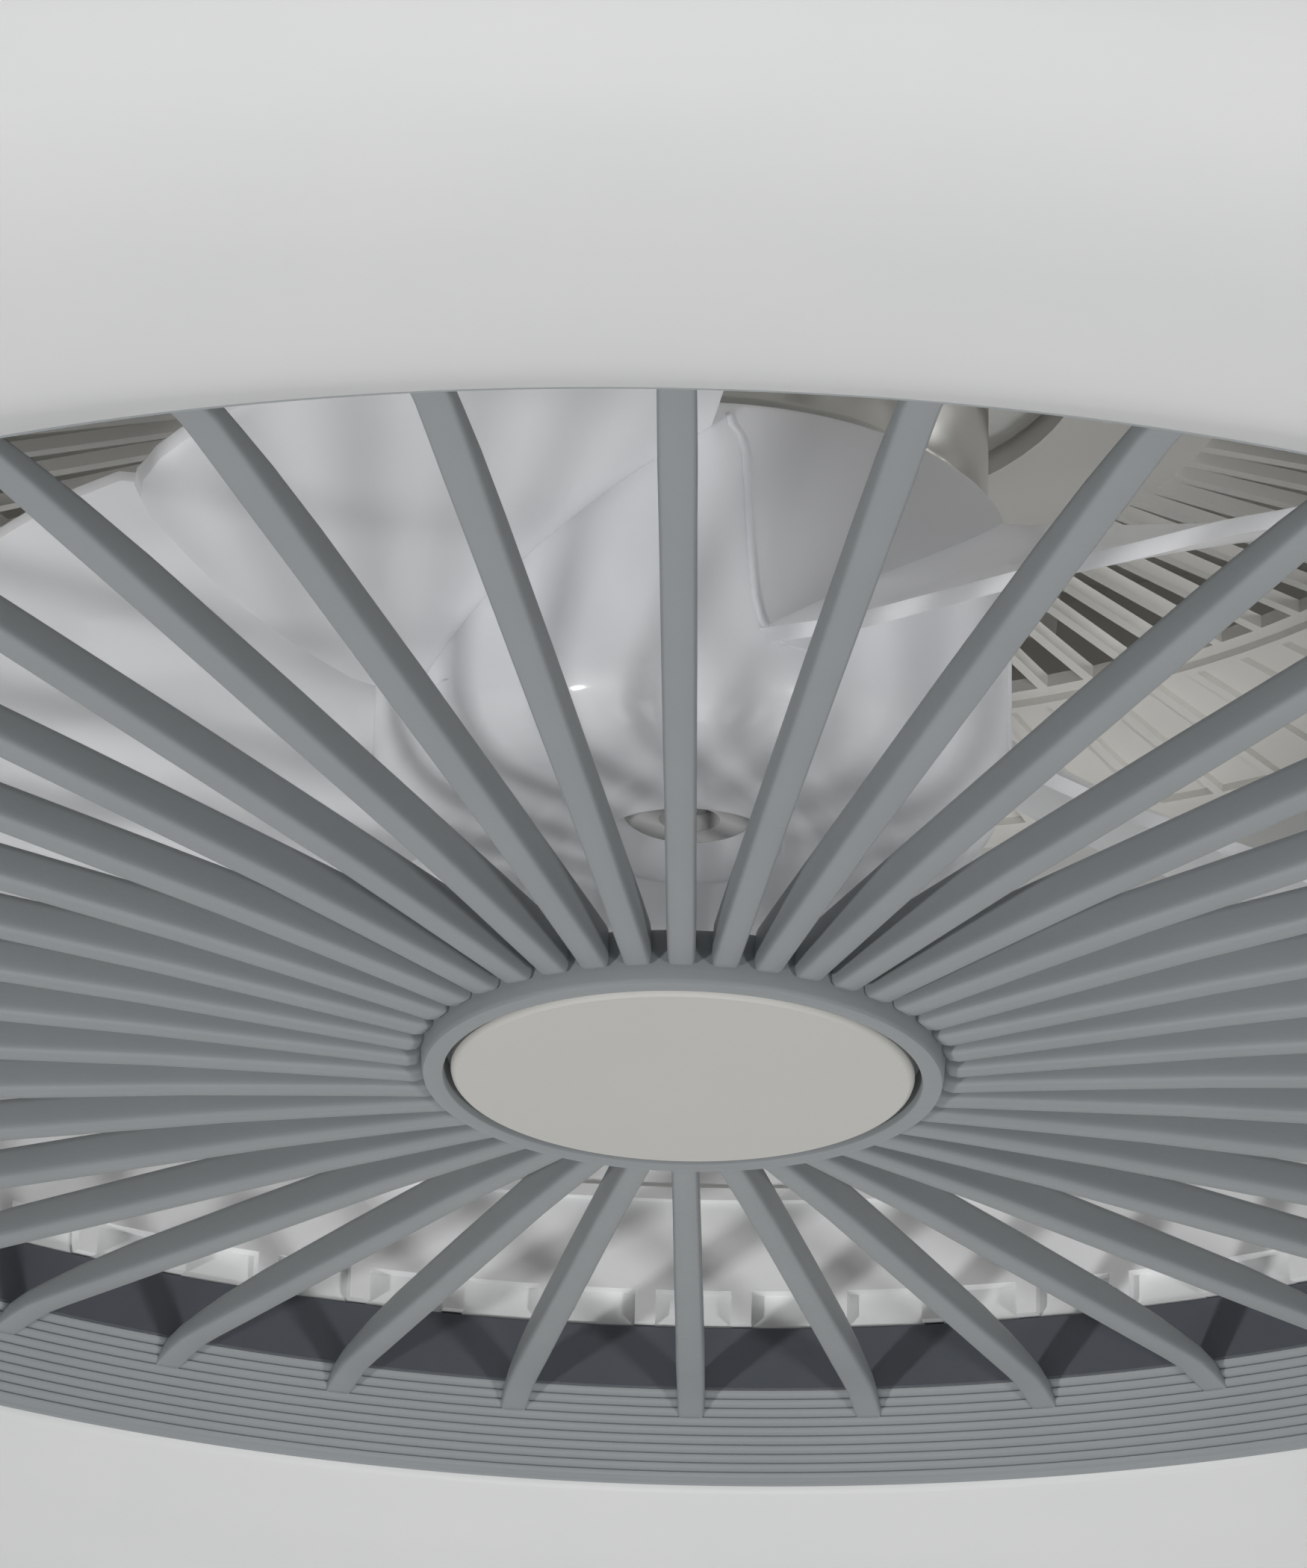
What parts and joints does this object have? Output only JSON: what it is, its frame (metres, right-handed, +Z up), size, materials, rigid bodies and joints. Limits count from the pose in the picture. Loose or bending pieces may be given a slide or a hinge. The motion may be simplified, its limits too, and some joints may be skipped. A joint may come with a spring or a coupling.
{
  "type": "ceiling fan",
  "caption": "Flush round ceiling fan with a grey radial-bar grille, clear impeller, chromed motor and a wide opal light ring.",
  "frame": {"origin": "middle of the ceiling strap's top face, in the ceiling plane", "axes": "+Z up through the ceiling, +X along the strap, -Y the side nearest the picture's camera"},
  "size_m": [0.6, 0.6, 0.1846],
  "materials": {
    "zinc_steel": "satin",
    "white_paint": "satin",
    "black_rubber": "matte",
    "white_plastic": "satin",
    "terminal_plastic": "gloss",
    "screw_steel": "satin",
    "motor_chrome": "polished",
    "core_steel": "matte",
    "copper_winding": "satin",
    "clear_blade_plastic": "gloss",
    "board_aluminium": "satin",
    "chip_plastic": "gloss",
    "opal_acrylic": "satin",
    "grey_plastic": "satin",
    "cap_plastic": "satin",
    "white_lead": "satin",
    "black_lead": "satin"
  },
  "bodies": {
    "housing": {"ceiling_strap": "zinc_steel", "rim_screws": "zinc_steel", "chassis_pan": "white_paint", "cable_grommet": "black_rubber", "light_driver": "white_plastic", "control_box": "white_plastic", "terminal_block": "terminal_plastic", "motor_hanger": "zinc_steel", "hanger_screws": "screw_steel", "motor_screws": "screw_steel", "motor_can": "motor_chrome", "motor_cover": "motor_chrome", "lower_bearing": "screw_steel", "upper_bearing": "screw_steel", "stator_core": "core_steel", "stator_coils": "copper_winding", "slotted_plate": "white_plastic", "plate_standoffs": "zinc_steel", "plate_screws": "screw_steel", "louvre_drum": "white_plastic", "air_duct": "white_plastic", "lamp_tray": "white_paint", "tray_screws": "screw_steel", "light_boards": "board_aluminium", "light_chips": "chip_plastic", "light_plug": "white_plastic", "mains_lead": "white_lead", "motor_lead": "black_lead", "light_lead": "white_lead"},
    "rotor": {"motor_shaft": "screw_steel", "drive_pin": "screw_steel", "rotor_core": "core_steel", "impeller": "clear_blade_plastic", "impeller_nut": "white_plastic"},
    "shade": {"ring_shade": "opal_acrylic"},
    "grille": {"grille": "grey_plastic", "centre_cap": "cap_plastic"}
  },
  "joints": [
    {"name": "rotor_spin", "type": "hinge", "parent": "housing", "child": "rotor", "pos_m": [0, 0, -0.09], "axis": [0, 0, 1], "continuous": true},
    {"name": "shade_twist", "type": "hinge", "parent": "housing", "child": "shade", "pos_m": [0, 0, -0.11], "axis": [0, 0, 1], "range_deg": [-20, 0]},
    {"name": "grille_twist", "type": "hinge", "parent": "housing", "child": "grille", "pos_m": [0, 0, -0.147], "axis": [0, 0, 1], "range_deg": [-20, 0]}
  ]
}
